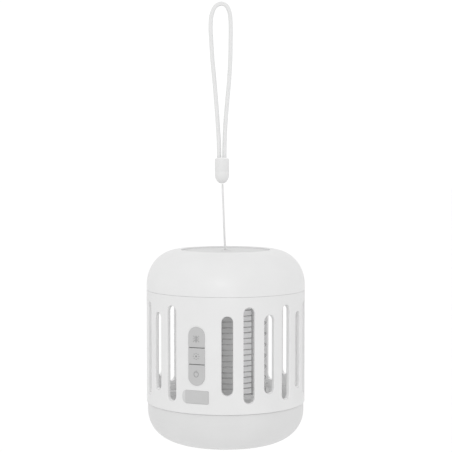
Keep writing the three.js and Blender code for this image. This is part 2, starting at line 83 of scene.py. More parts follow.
# ---- Sizes that the looks share with the CAD parts ------------------------------------------------
GAP = 0.3  # between the solids of pieces that touch
SLIP = 0.35  # round a piece that moves in an opening
WALL = 2.0
CAGE_WALL = 2.5
NECK_WALL = 1.6
PANEL_ANGLE = radians(-20.5)
PANEL_LEFT_GAP = radians(20.7)
PANEL_RIGHT_GAP = radians(21.6)
SLOT_RUNS = ((8, 15.45), (11, 14.5), (3, 15.2))
SLOT_HALF = 3.2
LONG_MARGIN = 5.7
SHORT_MARGIN = 10.3
BUTTON_HALF = 4.75
GRID_RADIUS = 22.9  # drawn a little slimmer than the solids, as the posts are
RETURN_RADIUS = GRID_RADIUS - 1.0
WIRE_RADIUS = 0.3
WIRE_TURNS = 17
POST_RADIUS = 0.35
WIRE_MARGIN = 0.8  # from each holder to the nearest wire
FIRST_LIVE_POST, FIRST_RETURN_POST = 39, -6  # degrees round from the front
LUG_LOW, LUG_TOP = NECK_TOP / 2 - 0.9, NECK_TOP / 2 + 0.9
LUG_ANGLES = (40, 160, 280)
LEDGE_LOW, LEDGE_TOP = CAGE_TOP - 2.3, CAGE_TOP - 0.9

# The cords' routes from the hook, in millimetres: [x, z].
LOOP_ROUTE = [
    (0.25, -85.4), (0.11, -83.8), (-0.12, -75.3), (-0.8, -64), (-1.65, -52.7), (-2.56, -41.4),
    (-3.63, -30.2), (-4.32, -19), (-4.65, -13.4), (-4.5, -7.8), (-3.9, -4.4), (-2.4, -0.9), (0, 0.95),
    (2.3, 1.15), (4.5, -0.3), (5.95, -3.4), (6.55, -7.8), (6.7, -13.4), (6.64, -19), (6.45, -30.2),
    (5.79, -41.4), (4.82, -52.7), (3.85, -64), (3.3, -75.3), (3.15, -83.8), (3.1, -85.4),
]
STRING_ROUTE = [
    (3.87, -141.2), (3.8, -138.4), (3.4, -134.5), (3.1, -128), (2.78, -120.6), (2.4, -109.3),
    (2.1, -102.5), (2.05, -100.2),
]
LOOP_CORD = 2.4
STRING_CORD = 1.1


# ---- Materials -----------------------------------------------------------------------------------
def node(tree, kind, inputs=None, **settings):
    made = tree.nodes.new(kind)
    for name, value in settings.items():
        setattr(made, name, value)
    for name, value in (inputs or {}).items():
        made.inputs[name].default_value = value
    return made


def shader(name, roughness, metallic=0.0, **sockets):
    """A new material, its tree, its Principled shader and its object coordinates."""
    material = bpy.data.materials.new(name)
    material.use_nodes = True
    tree = material.node_tree
    surface = tree.nodes["Principled BSDF"]
    surface.inputs["Roughness"].default_value = roughness
    surface.inputs["Metallic"].default_value = metallic
    for socket, value in sockets.items():
        surface.inputs[socket].default_value = value
    place_node = node(tree, "ShaderNodeTexCoord")
    return material, tree, surface, place_node.outputs["Object"]


def noise(tree, where, scale, detail=3.0, rough=0.5):
    made = node(tree, "ShaderNodeTexNoise", {"Scale": scale, "Detail": detail, "Roughness": rough})
    tree.links.new(where, made.inputs["Vector"])
    return made.outputs["Fac"]


def ramp(tree, factor, stops):
    made = node(tree, "ShaderNodeValToRGB")
    elements = made.color_ramp.elements
    while len(elements) < len(stops):
        elements.new(0.5)
    for element, (position, colour) in zip(elements, stops):
        element.position = position
        element.color = (*colour, 1)
    tree.links.new(factor, made.inputs["Fac"])
    return made.outputs["Color"]


def spread(tree, factor, low, high):
    made = node(tree, "ShaderNodeMapRange", {"To Min": low, "To Max": high})
    tree.links.new(factor, made.inputs["Value"])
    return made.outputs["Result"]


def bump(tree, surface, heights, distance, strength=1.0):
    made = node(tree, "ShaderNodeBump", {"Strength": strength, "Distance": distance})
    tree.links.new(heights, made.inputs["Height"])
    tree.links.new(made.outputs["Normal"], surface.inputs["Normal"])


def painted_glow(material, strength, colour=(1, 1, 1)):
    """Painted light: emission that brightens a part which is no lamp, standing in for light that reaches
    it.
    """
    surface = material.node_tree.nodes["Principled BSDF"]
    surface.inputs["Emission Color"].default_value = (*colour, 1)
    surface.inputs["Emission Strength"].default_value = strength
    return material


def grey(level):
    return (level, level, level)


def moulded(name, level, roughness, grain=3200.0, depth=0.000012, wear=0.03):
    """Moulded plastic: slow drifts of tone, a fine spark-eroded grain and uneven gloss."""
    material, tree, surface, where = shader(name, roughness, **{"Specular IOR Level": 0.45})
    drift = noise(tree, where, 60.0, 4.0)
    tone = ramp(tree, drift, [(0.3, grey(level * (1 - wear))), (0.7, grey(level))])
    tree.links.new(tone, surface.inputs["Base Color"])
    gloss = spread(tree, noise(tree, where, 260.0, 5.0, 0.6), roughness - 0.06, roughness + 0.08)
    tree.links.new(gloss, surface.inputs["Roughness"])
    bump(tree, surface, noise(tree, where, grain, 2.0), depth)
    return material


def wire_metal(name, level, roughness):
    """Bare metal: dull patches, uneven gloss and a very fine roughness."""
    material, tree, surface, where = shader(name, roughness, 1.0)
    patches = noise(tree, where, 900.0, 4.0, 0.6)
    tone = ramp(tree, patches, [(0.35, grey(level * 0.78)), (0.65, grey(level))])
    tree.links.new(tone, surface.inputs["Base Color"])
    gloss = spread(tree, noise(tree, where, 2400.0), roughness - 0.1, roughness + 0.15)
    tree.links.new(gloss, surface.inputs["Roughness"])
    bump(tree, surface, noise(tree, where, 5200.0, 2.0), 0.00001)
    return material


def circuit(name, colour, track):
    """A circuit board: solder mask over copper tracks."""
    material, tree, surface, where = shader(name, 0.45)
    cells = node(tree, "ShaderNodeTexVoronoi", {"Scale": 420.0}, feature="DISTANCE_TO_EDGE")
    tree.links.new(where, cells.inputs["Vector"])
    tone = ramp(tree, cells.outputs["Distance"], [(0.03, track), (0.08, colour)])
    tree.links.new(tone, surface.inputs["Base Color"])
    bump(tree, surface, cells.outputs["Distance"], 0.00003, 0.4)
    return material


def braid(name, level):
    """A woven cord: two sets of strands that cross, from the tube's own length and turn."""
    material, tree, surface, _ = shader(name, 0.85, **{"Sheen Weight": 0.25})
    uv = node(tree, "ShaderNodeUVMap")
    parts = node(tree, "ShaderNodeSeparateXYZ")
    tree.links.new(uv.outputs["UV"], parts.inputs["Vector"])
    waves = []
    for sign in (1, -1):
        along = node(tree, "ShaderNodeMath", {1: 5.2}, operation="MULTIPLY")
        tree.links.new(parts.outputs["X"], along.inputs[0])
        turn = node(tree, "ShaderNodeMath", {1: 8.0 * tau * sign}, operation="MULTIPLY")
        tree.links.new(parts.outputs["Y"], turn.inputs[0])
        both = node(tree, "ShaderNodeMath", operation="ADD")
        tree.links.new(along.outputs[0], both.inputs[0])
        tree.links.new(turn.outputs[0], both.inputs[1])
        wave = node(tree, "ShaderNodeMath", operation="SINE")
        tree.links.new(both.outputs[0], wave.inputs[0])
        waves.append(wave.outputs[0])
    weave = node(tree, "ShaderNodeMath", operation="MULTIPLY")
    tree.links.new(waves[0], weave.inputs[0])
    tree.links.new(waves[1], weave.inputs[1])
    raised = spread(tree, weave.outputs[0], 0.0, 1.0)
    # Painted shade: the strands' sunken parts are coloured darker, standing in for shade between them.
    tone = ramp(tree, raised, [(0.0, grey(level * 0.86)), (0.6, grey(level))])
    tree.links.new(tone, surface.inputs["Base Color"])
    bump(tree, surface, raised, 0.00008)
    return material


CAP = moulded("cap_white", 0.7, 0.38)
CAGE = moulded("cage_white", 0.69, 0.45)
BASE = moulded("base_white", 0.63, 0.45)
# The slots' side walls: the cage's white with a painted glow, standing in for light bouncing into the
# slots.
JAMB_PAINTED_GLOW = painted_glow(moulded("slot_wall_painted_glow", 0.69, 0.5), 0.07)
# The cage's and base's inner faces: lighter copies of their white with a painted glow, which paint light
# onto the inside.
WALL_PAINTED_LIGHT = painted_glow(moulded("wall_inside_painted_light", 0.84, 0.5), 0.1)
TRAY_PAINTED_LIGHT = painted_glow(moulded("tray_inside_painted_light", 0.76, 0.5), 0.08)
# The top disc: a darker grey than the cap, painted shade for its upward-facing top.
DISC_PAINTED_SHADE = moulded("disc_painted_shade", 0.62, 0.55, grain=4200.0, depth=0.00002)
BUTTON = moulded("button_grey", 0.46, 0.5, grain=4800.0, depth=0.00002)
ICON = moulded("icon_grey", 0.24, 0.5, grain=4800.0)
RUBBER = moulded("rubber_grey", 0.485, 0.7, grain=3600.0, depth=0.00003, wear=0.05)
TAB = moulded("tab_rubber", 0.56, 0.7, grain=3600.0, depth=0.00003)
FOOT = moulded("foot_rubber", 0.5, 0.8, grain=2600.0, depth=0.00004, wear=0.08)
# The chassis, light core and UV boards glow a little, white and even: painted light for the light that
# reaches the inside of the cage.
INNER_PAINTED_GLOW = painted_glow(moulded("inner_plastic", 0.7, 0.55), 0.08)
CORE_PAINTED_GLOW = painted_glow(moulded("core_plastic_painted_glow", 0.86, 0.4), 0.13, (0.98, 0.97, 1.0))
STRIP_PAINTED_GLOW = painted_glow(moulded("uv_board_painted_glow", 0.52, 0.5, wear=0.1), 0.09)
BLACK = moulded("black_component", 0.03, 0.35, wear=0.3)
STOPPER = moulded("stopper_white", 0.69, 0.45)
WIRE = wire_metal("grid_wire", 0.55, 0.5)
FIXING = wire_metal("zinc_fixing", 0.6, 0.3)
BOARD = circuit("circuit_board", (0.02, 0.14, 0.06), (0.05, 0.22, 0.1))
WRAP = moulded("battery_wrap", 0.3, 0.3)
WEAVE = braid("cord_weave", 0.79)
TWINE = braid("string_weave", 0.82)


# ---- Mesh helpers --------------------------------------------------------------------------------
BEND_STEPS = 5  # round a soft edge


def place(points):
    """Millimetres round the lantern's axis to metres in the row frame."""
    return [(x * MM + AXIS_X, y * MM, z * MM + SEAM_Z) for x, y, z in points]


def piece(name, points, faces, material, body, uvs=None):
    """A smooth mesh that rides on a body. Its faces point out and, where it has no UVs, its shared
    corners are merged.
    """
    mesh = bpy.data.meshes.new(name)
    mesh.from_pydata(points, [], faces)
    mesh.update()
    made = bpy.data.objects.new(name, mesh)
    bpy.context.scene.collection.objects.link(made)
    if uvs:
        layer = mesh.uv_layers.new(name="UVMap")
        for loop in mesh.loops:
            layer.data[loop.index].uv = uvs[loop.vertex_index]
    tidy(mesh, merge=not uvs)
    mesh.materials.append(material)
    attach(made, body)
    return made


def paint_inside_light(made, depth, material):
    """Gives the inner faces, deeper than depth under the casing's surface, a material of their own,
    lighter and glowing: painted light.
    """
    made.data.materials.append(material)
    for face in made.data.polygons:
        x, y = face.center.x - AXIS_X, face.center.y
        away = hypot(x, y)
        inward = (face.normal.x * x + face.normal.y * y) / max(away, 1e-6) < -0.3
        if away < (RADIUS - depth) * MM and (inward or face.normal.z > 0.5):
            face.material_index = 1


def tidy(mesh, merge):
    work = bmesh.new()
    work.from_mesh(mesh)
    if merge:
        bmesh.ops.remove_doubles(work, verts=work.verts, dist=2e-6)
        bmesh.ops.dissolve_degenerate(work, edges=work.edges, dist=1e-7)
    bmesh.ops.recalc_face_normals(work, faces=work.faces)
    for face in work.faces:
        face.smooth = True
    work.to_mesh(mesh)
    work.free()
    mesh.set_sharp_from_angle(angle=radians(50))


class Shape:
    """Points and faces of one mesh, gathered from several surfaces."""

    def __init__(self):
        self.points = []
        self.faces = []

    def skin(self, rings, closed=True, start=None, end=None):
        """Quads between rings of equal length. start and end close the first and last ring."""
        base = len(self.points)
        count = len(rings[0])
        for ring in rings:
            self.points += ring
        for row in range(len(rings) - 1):
            for i in range(count if closed else count - 1):
                a, b = base + row * count + i, base + row * count + (i + 1) % count
                self.faces.append((a, b, b + count, a + count))
        for ring_index, cover in ((0, start), (len(rings) - 1, end)):
            first = base + ring_index * count
            if cover == "face":
                self.faces.append(tuple(range(first, first + count)))
            elif cover:
                self.points.append(cover)
                tip = len(self.points) - 1
                for i in range(count):
                    self.faces.append((first + i, first + (i + 1) % count, tip))
        return self

    def lathe(self, profile, sides=160):
        """A closed profile of (radius, height) turned about the axis."""
        rings = [[(r * sin(tau * k / sides), -r * cos(tau * k / sides), z) for k in range(sides)]
                 for r, z in profile if r > 1e-6]
        if profile[0][0] > 1e-6:
            return self.skin(rings + rings[:1])
        return self.skin(rings, start=(0, 0, profile[0][1]), end=(0, 0, profile[-1][1]))

    def torus(self, radius, wire, z, around=96, sides=8):
        rings = []
        for k in range(around + 1):
            turn = tau * k / around
            rings.append([((radius + wire * cos(tau * s / sides)) * sin(turn),
                           -(radius + wire * cos(tau * s / sides)) * cos(turn),
                           z + wire * sin(tau * s / sides)) for s in range(sides)])
        return self.skin(rings)

    def rod(self, x, y, radius, low, high, sides=14):
        ring = [(x + radius * cos(tau * s / sides), y + radius * sin(tau * s / sides))
                for s in range(sides)]
        return self.skin([[(px, py, z) for px, py in ring] for z in (low, high)],
                         start="face", end="face")


def fillet(corners, steps=BEND_STEPS):
    """A closed outline of (x, y, radius) corners as points, with each corner rounded."""
    points = []
    count = len(corners)
    for i, (x, y, radius) in enumerate(corners):
        here = Vector((x, y))
        before = Vector(corners[i - 1][:2]) - here
        after = Vector(corners[(i + 1) % count][:2]) - here
        half = before.angle(after) / 2
        reach = radius / max(sin(half), 1e-6) * cos(half)
        start, finish = here + before.normalized() * reach, here + after.normalized() * reach
        middle = here + (before.normalized() + after.normalized()).normalized() * radius / sin(half)
        first, last = start - middle, finish - middle
        swing = atan2(first.x * last.y - first.y * last.x, first.dot(last))
        for k in range(steps + 1):
            turn = swing * k / steps
            points.append((middle.x + first.x * cos(turn) - first.y * sin(turn),
                           middle.y + first.x * sin(turn) + first.y * cos(turn)))
    return points


def quarter(centre, base, across, rise, exponent, steps=28):
    """A quarter of a superellipse from its widest point to its pole."""
    return [(centre + across * cos(pi / 2 * k / steps) ** (2 / exponent),
             base + rise * sin(pi / 2 * k / steps) ** (2 / exponent)) for k in range(steps)] + [
                 (centre, base + rise)]


def wrapped(u, z, depth, turn=PANEL_ANGLE):
    """A point on the casing: u millimetres round it, z up it and depth below its surface."""
    angle = turn + u / RADIUS
    return ((RADIUS - depth) * sin(angle), -(RADIUS - depth) * cos(angle), z)


# ---- Camera --------------------------------------------------------------------------------------
CAMERA_AWAY = 732.9
CAMERA_HEIGHT = 140.0
CAMERA_PITCH = radians(3.168)
CAMERA_ASIDE = 0.16
LENS_MM = 102.9


def add_camera():
    data = bpy.data.cameras.new("camera")
    data.lens = LENS_MM
    data.sensor_width = 36.0
    data.clip_start = 0.01
    data.clip_end = 50
    camera = bpy.data.objects.new("camera", data)
    bpy.context.scene.collection.objects.link(camera)
    camera.location = place([(CAMERA_ASIDE, -CAMERA_AWAY, CAMERA_HEIGHT)])[0]
    camera.rotation_euler = (pi / 2 - CAMERA_PITCH, 0, 0)
    bpy.context.scene.camera = camera


# ---- Cords ---------------------------------------------------------------------------------------
def smooth_route(route, per_span=10):
    """The Catmull-Rom curve through the route's points, in metres."""
    points = [Vector((x, 0, z)) * MM for x, z in route]
    ends = [points[0] * 2 - points[1], *points, points[-1] * 2 - points[-2]]
    line = []
    for i in range(1, len(ends) - 2):
        p0, p1, p2, p3 = ends[i - 1:i + 3]
        for k in range(per_span):
            t = k / per_span
            line.append(0.5 * (2 * p1 + (p2 - p0) * t + (2 * p0 - 5 * p1 + 4 * p2 - p3) * t * t
                               + (3 * p1 - p0 - 3 * p2 + p3) * t ** 3))
    line.append(points[-1])
    return line


def cord_mesh(name, line, diameter, material, sides=16):
    """A tube along a line in the XZ plane, whose UVs are millimetres along it and turns round it."""
    shape = Shape()
    rings, uvs, along = [], [], 0.0
    for i, here in enumerate(line):
        ahead = (line[min(i + 1, len(line) - 1)] - line[max(i - 1, 0)]).normalized()
        side = Vector((-ahead.z, 0, ahead.x))
        if i:
            along += (here - line[i - 1]).length / MM
        ring = []
        for s in range(sides + 1):
            turn = tau * s / sides
            ring.append(here + (side * cos(turn) + Vector((0, 1, 0)) * sin(turn)) * diameter / 2 * MM)
            uvs.append((along, s / sides))
        rings.append(ring)
    shape.skin(rings, closed=False)
    for ring, centre, at in ((rings[0], line[0], 0.0), (rings[-1], line[-1], along)):
        first = len(shape.points)
        shape.points += [*ring[:-1], centre]
        uvs += [(at, 0.0)] * (sides + 1)
        for s in range(sides):
            shape.faces.append((first + s, first + (s + 1) % sides, first + sides))
    return piece(name, shape.points, shape.faces, material, "strap", uvs), along * MM


def add_cords():
    loop_line = smooth_route(LOOP_ROUTE)
    string_line = smooth_route(STRING_ROUTE)
    loop, loop_length = cord_mesh("cord_loop", loop_line, LOOP_CORD, WEAVE)
    string, string_length = cord_mesh("hanging_string", string_line, STRING_CORD, TWINE, 12)
    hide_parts("strap_loop")
    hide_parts("strap_string")
    stopper = add_stopper()
    knot = add_knot()
    print("cord lengths in mm:", round(loop_length / MM, 1), round(string_length / MM, 1))


def add_stopper():
    """The bullet-shaped cord end: a shallow hollow on top, a parting line and a rounded nose."""
    low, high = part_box("strap_stopper")
    radius = (high.x - low.x) / 2 / MM
    tall = (high.z - low.z) / MM
    nose = quarter(0, 5.6, radius, -5.6, 2.15, 16)[::-1]
    profile = [
        *nose, (radius, 6.5), (radius - 0.06, 6.62), (radius - 0.06, 6.78), (radius, 6.9),
        *[(radius - 0.7 + 0.7 * cos(pi / 2 * k / 6), tall - 0.7 + 0.7 * sin(pi / 2 * k / 6))
          for k in range(7)],
        (radius * 0.82, tall - 0.02), (radius * 0.78, tall - 0.16), (0, tall - 0.16)]
    shape = Shape().lathe(profile, 64)
    centre = (low + high) / 2
    points = [(centre.x + x * MM, centre.y + y * MM, low.z + z * MM) for x, y, z in shape.points]
    made = piece("cord_stopper", points, shape.faces, STOPPER, "strap")
    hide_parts("strap_stopper")
    return made


def add_knot():
    """The string's overhand knot under the cap: a fat trefoil of string."""
    low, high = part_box("string_knot")
    centre = (low + high) / 2
    size = (high.x - low.x) / 2
    steps, sides = 90, 8
    line = []
    for k in range(steps + 1):
        t = tau * k / steps
        line.append(Vector(((sin(t) + 1.6 * sin(2 * t)) * 0.27, (cos(t) - 1.6 * cos(2 * t)) * 0.27,
                            -sin(3 * t) * 0.34)) * size + centre)
    shape = Shape()
    rings = []
    for k in range(steps + 1):
        ahead = (line[(k + 1) % steps] - line[(k - 1) % steps]).normalized()
        side = ahead.cross(Vector((0.1, 0.2, 1))).normalized()
        up = ahead.cross(side)
        rings.append([line[k] + (side * cos(tau * s / sides) + up * sin(tau * s / sides))
                      * STRING_CORD / 2 * MM * 0.95 for s in range(sides)])
    shape.skin(rings)
    made = piece("string_end_knot", shape.points, shape.faces, STOPPER, "strap")
    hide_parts("string_knot")
    return made


# ---- Cap -----------------------------------------------------------------------------------------
def edge(x, z, radius, start):
    """A rounded edge as an arc of a quarter turn about (x, z) that begins at the angle start."""
    bends = [start + pi / 2 * k / BEND_STEPS for k in range(BEND_STEPS + 1)]
    return [(x + radius * cos(bend), z + radius * sin(bend)) for bend in bends]


def add_cap():
    top_radius, skirt, bulge = 26.1, 2.2, 2.07
    soft, rim = 0.15, 0.35
    spigot_inner, spigot_outer = 38.2, 39.6
    shoulder = CAGE_TOP + GAP + skirt
    pocket = PLATE_RADIUS + 0.22
    dome = quarter(top_radius, shoulder, RADIUS - top_radius, CAP_TOP - shoulder, bulge, 40)[:-1]
    ceiling = PLATE_LOW - GAP - WALL
    inner = [p for p in quarter(top_radius, shoulder, RADIUS - CAGE_WALL - top_radius,
                                CAP_TOP - WALL - shoulder, bulge, 30) if p[1] < ceiling][::-1]
    profile = [
        (spigot_inner, LEDGE_LOW), (spigot_outer, LEDGE_LOW), (spigot_outer, CAP_LOW),
        *edge(RADIUS - soft, CAP_LOW + soft, soft, -pi / 2), *dome,
        *edge(pocket + rim, CAP_TOP - rim, rim, pi / 2),
        (pocket, PLATE_LOW - GAP), (pocket - WALL, PLATE_LOW - GAP), (pocket - WALL, ceiling),
        (inner[0][0], ceiling), *inner, (spigot_inner, shoulder),
    ]
    shape = Shape().lathe(profile, 192)
    made = piece("cap_dome", place(shape.points), shape.faces, CAP, "lamp")
    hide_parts("cap_shell")

    eyelet = 1.5
    plate = [
        (eyelet, PLATE_LOW), (PLATE_RADIUS - 0.3, PLATE_LOW), (PLATE_RADIUS, PLATE_LOW + 0.3),
        *edge(PLATE_RADIUS - 0.3, PLATE_TOP - 0.3, 0.3, 0),
        (6, PLATE_TOP - 0.05), (3.4, PLATE_TOP - 0.05), (3.1, PLATE_TOP + 0.1), (2.9, PLATE_TOP + 0.3),
        *edge(eyelet + 0.5, PLATE_TOP - 0.05, 0.5, pi / 2),
    ]
    shape = Shape().lathe(plate, 160)
    made = piece("top_disc", place(shape.points), shape.faces, DISC_PAINTED_SHADE, "lamp")
    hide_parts("top_plate")


# ---- Cage ----------------------------------------------------------------------------------------
# The cage's wall is made of cells side by side, each with one hole in it.
LEVELS = 45  # steps up the cage, which neighbouring cells share
RIM = 0.12  # radius of the cage's soft upper and lower edges
INNER_SOFT = 0.3  # radius of a hole's edge on the inner face
SLOT_COLUMNS = 12


def slot_angles():
    """The slots' angles round from the front, in three runs with a wide rib between runs."""
    covered = sum((count - 1) * pitch for count, pitch in SLOT_RUNS)
    rib = (360 - degrees(PANEL_LEFT_GAP + PANEL_RIGHT_GAP) - covered) / (len(SLOT_RUNS) - 1)
    angles, start = [], degrees(PANEL_ANGLE + PANEL_RIGHT_GAP)
    for count, pitch in SLOT_RUNS:
        angles += [radians(start + index * pitch) for index in range(count)]
        start += (count - 1) * pitch + rib
    return angles


def frame_border(u0, u1, low, high, columns):
    """Points round a cell's border, anticlockwise from its lower left, on shared height levels."""
    step = (CAGE_TOP - 2 * RIM) / LEVELS
    across = [u0 + (u1 - u0) * k / columns for k in range(columns + 1)]
    up = [RIM + step * k for k in range(low, high + 1)]
    return ([(u, up[0]) for u in across[:-1]] + [(u1, z) for z in up[:-1]]
            + [(u, up[-1]) for u in across[:0:-1]] + [(u0, z) for z in up[:0:-1]])


def toward_hole(border, hole):
    """For each border point, the nearest place on the hole's core and the way out from it."""
    u, z, half_u, half_z, radius = hole
    pairs = []
    for pu, pz in border:
        su = min(max(pu, u - half_u + radius), u + half_u - radius)
        sz = min(max(pz, z - half_z + radius), z + half_z - radius)
        away = hypot(pu - su, pz - sz)
        pairs.append(((su, sz), ((pu - su) / away, (pz - sz) / away)))
    return pairs


def hole_ring(pairs, radius, offset, depth, turn):
    return [wrapped(s[0] + (radius + offset) * d[0], s[1] + (radius + offset) * d[1], depth, turn)
            for s, d in pairs]


def lerp_ring(border, pairs, radius, offset, share, depth, turn):
    """A ring part of the way from the hole's edge (0) to the border (1)."""
    ring = []
    for (pu, pz), (s, d) in zip(border, pairs):
        hu, hz = s[0] + (radius + offset) * d[0], s[1] + (radius + offset) * d[1]
        ring.append(wrapped(hu + (pu - hu) * share, hz + (pz - hz) * share, depth, turn))
    return ring


def soft_hole(border, hole, soft, turn, depth=CAGE_WALL):
    """Rings over the outer face, round the hole's soft edge, down its wall and over the inner face."""
    radius = hole[4]
    pairs = toward_hole(border, hole)
    rings = [[wrapped(u, z, 0, turn) for u, z in border]]
    rings += [lerp_ring(border, pairs, radius, soft, share, 0, turn) for share in (0.66, 0.33, 0.1)]
    for k in range(BEND_STEPS + 1):
        bend = pi / 2 * k / BEND_STEPS
        rings.append(hole_ring(pairs, radius, soft - soft * sin(bend), soft - soft * cos(bend), turn))
    for k in range(BEND_STEPS + 1):
        bend = pi / 2 * k / BEND_STEPS
        rings.append(hole_ring(pairs, radius, INNER_SOFT - INNER_SOFT * cos(bend),
                               depth - INNER_SOFT + INNER_SOFT * sin(bend), turn))
    return rings, pairs


def add_cell(shape, u0, u1, low, high, columns, hole, turn, soft=0.6):
    border = frame_border(u0, u1, low, high, columns)
    rings, pairs = soft_hole(border, hole, soft, turn)
    rings += [lerp_ring(border, pairs, hole[4], INNER_SOFT, share, CAGE_WALL, turn)
              for share in (0.33, 0.66, 1)]
    shape.skin(rings)


def add_port_cell(shape, u0, u1, low, high, columns, turn):
    """The flap's pocket, whose floor has the charging socket's window."""
    middle = (FLAP_LOW + FLAP_TOP) / 2
    pocket = ((FLAP_RIGHT - FLAP_LEFT) / 2, middle, (FLAP_RIGHT + FLAP_LEFT) / 2 - 0.02,
              (FLAP_TOP - FLAP_LOW) / 2 - 0.02, 0.78)
    corner = 1.0
    window = (0, middle, 5.2, 2.0, corner)
    floor = 1.2
    border = frame_border(u0, u1, low, high, columns)
    rings, pairs = soft_hole(border, pocket, 0.08, turn, depth=floor + INNER_SOFT)
    rings = rings[:-BEND_STEPS]
    edge_line = [(s[0] + pocket[4] * d[0], s[1] + pocket[4] * d[1]) for s, d in pairs]
    inner_pairs = toward_hole(edge_line, window)
    rings += [lerp_ring(edge_line, inner_pairs, corner, 0, share, floor, turn)
              for share in (1, 0.5, 0)]
    rings += [lerp_ring(edge_line, inner_pairs, corner, 0, 0, CAGE_WALL, turn)]
    hole_line = [(s[0] + corner * d[0], s[1] + corner * d[1]) for s, d in inner_pairs]
    for share in (0.33, 0.66, 1):
        rings.append([wrapped(hu + (pu - hu) * share, hz + (pz - hz) * share, CAGE_WALL, turn)
                      for (hu, hz), (pu, pz) in zip(hole_line, border)])
    shape.skin(rings)


def add_cage():
    shape = Shape()
    slots = slot_angles()
    side = (slots[1] - slots[0]) / 2
    bounds = [slots[0] - side, *[(a + b) / 2 for a, b in zip(slots, slots[1:])], slots[-1] + side]
    angles = []
    for index, turn in enumerate(slots):
        start, finish = bounds[index], bounds[index + 1]
        margin = SHORT_MARGIN if index % 2 == 0 else LONG_MARGIN
        hole = (0, CAGE_TOP / 2, SLOT_HALF, CAGE_TOP / 2 - margin, SLOT_HALF)
        add_cell(shape, (start - turn) * RADIUS, (finish - turn) * RADIUS, 0, LEVELS, SLOT_COLUMNS,
                 hole, turn)
        angles += [start + (finish - start) * k / SLOT_COLUMNS for k in range(SLOT_COLUMNS)]
    panel_left, panel_right = (side - PANEL_LEFT_GAP) * RADIUS, (PANEL_RIGHT_GAP - side) * RADIUS
    split, columns = 10, 26
    add_port_cell(shape, panel_left, panel_right, 0, split, columns, PANEL_ANGLE)
    low, high = BUTTONS["bottom"][0], BUTTONS["top"][1]
    snug = BUTTON_HALF - 0.07
    button_hole = (0, (low + high) / 2, snug, (high - low) / 2 - 0.02, snug - 0.02)
    add_cell(shape, panel_left, panel_right, split, LEVELS, columns, button_hole, PANEL_ANGLE, 0.08)
    angles += [PANEL_ANGLE + (panel_left + (panel_right - panel_left) * k / columns) / RADIUS
               for k in range(columns)]
    for flat, away in ((CAGE_TOP - RIM, 1), (RIM, -1)):
        bends = [pi / 2 * k / BEND_STEPS for k in range(BEND_STEPS + 1)]
        section = [(RADIUS - RIM + RIM * cos(bend), flat + away * RIM * sin(bend)) for bend in bends]
        section += [(RADIUS - CAGE_WALL + RIM - RIM * sin(bend), flat + away * RIM * cos(bend))
                    for bend in bends]
        shape.skin([[(r * sin(a), -r * cos(a), z) for a in sorted(angles)] for r, z in section])
    made = piece("cage_body", place(shape.points), shape.faces, CAGE, "lamp")
    paint_inside_light(made, 1.3, WALL_PAINTED_LIGHT)
    paint_slot_light(made)
    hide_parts("cage")
    add_ledge_and_lugs()


def paint_slot_light(made):
    """Gives the slots' side walls, whose faces look round the casing, a glowing material of their own:
    painted light.
    """
    made.data.materials.append(JAMB_PAINTED_GLOW)
    for face in made.data.polygons:
        x, y = face.center.x - AXIS_X, face.center.y
        if abs(face.normal.y * x - face.normal.x * y) > 0.6 * hypot(x, y):
            face.material_index = 2


def add_ledge_and_lugs():
    """The ledge that the cap's deck rests over, and the three lugs that hold the base."""
    ledge_outer = RADIUS - CAGE_WALL - 0.02
    ledge_inner = ledge_outer - 2.18
    shape = Shape().lathe([(ledge_inner, LEDGE_LOW), (ledge_outer, LEDGE_LOW),
                           (ledge_outer, LEDGE_TOP), (ledge_inner, LEDGE_TOP)], 128)
    piece("cage_ledge", place(shape.points), shape.faces, CAGE, "lamp")
    lug_half, lug_corner = 2.8, 0.5
    for number, angle in enumerate(LUG_ANGLES):
        lug = fillet([(side * lug_half, z, lug_corner) for side, z in
                      ((-1, LUG_LOW), (1, LUG_LOW), (1, LUG_TOP), (-1, LUG_TOP))])
        rings = [[wrapped(u, z, depth, radians(angle)) for u, z in lug]
                 for depth in (CAGE_WALL - 0.1, CAGE_WALL + 1.3)]
        shape = Shape().skin(rings, start="face", end="face")
        piece(f"cage_lug_{number + 1}", place(shape.points), shape.faces, CAGE, "lamp")


# ---- Controls ------------------------------------------------------------------------------------
def plate_rings(outline, centre, proud, soft, back):
    """Rings of a plate on the casing: up its side, over its soft edge and in to its middle."""
    def inset(distance):
        moved = []
        count = len(outline)
        for i, (u, z) in enumerate(outline):
            before, after = Vector(outline[i - 1]), Vector(outline[(i + 1) % count])
            along = (after - before).normalized()
            moved.append((u - along.y * distance, z + along.x * distance))
        return moved

    rings = [[wrapped(u, z, back) for u, z in outline],
             [wrapped(u, z, -proud + soft) for u, z in outline]]
    for k in range(1, BEND_STEPS + 1):
        bend = pi / 2 * k / BEND_STEPS
        rings.append([wrapped(u, z, -proud + soft - soft * sin(bend))
                      for u, z in inset(soft - soft * cos(bend))])
    last = inset(soft)
    for share in (0.92, 0.75, 0.55, 0.35, 0.15):
        rings.append([wrapped(centre[0] + (u - centre[0]) * share,
                              centre[1] + (z - centre[1]) * share, -proud) for u, z in last])
    return rings, wrapped(*centre, -proud)


def stroke(points, width):
    """An outline round an open line of a given width."""
    sides = []
    for sign in (1, -1):
        side = []
        for i, point in enumerate(points):
            here = Vector(point)
            ahead = (Vector(points[min(i + 1, len(points) - 1)]) - Vector(points[max(i - 1, 0)]))
            ahead.normalize()
            side.append((here.x - sign * ahead.y * width / 2, here.y + sign * ahead.x * width / 2))
        sides.append(side)
    return sides


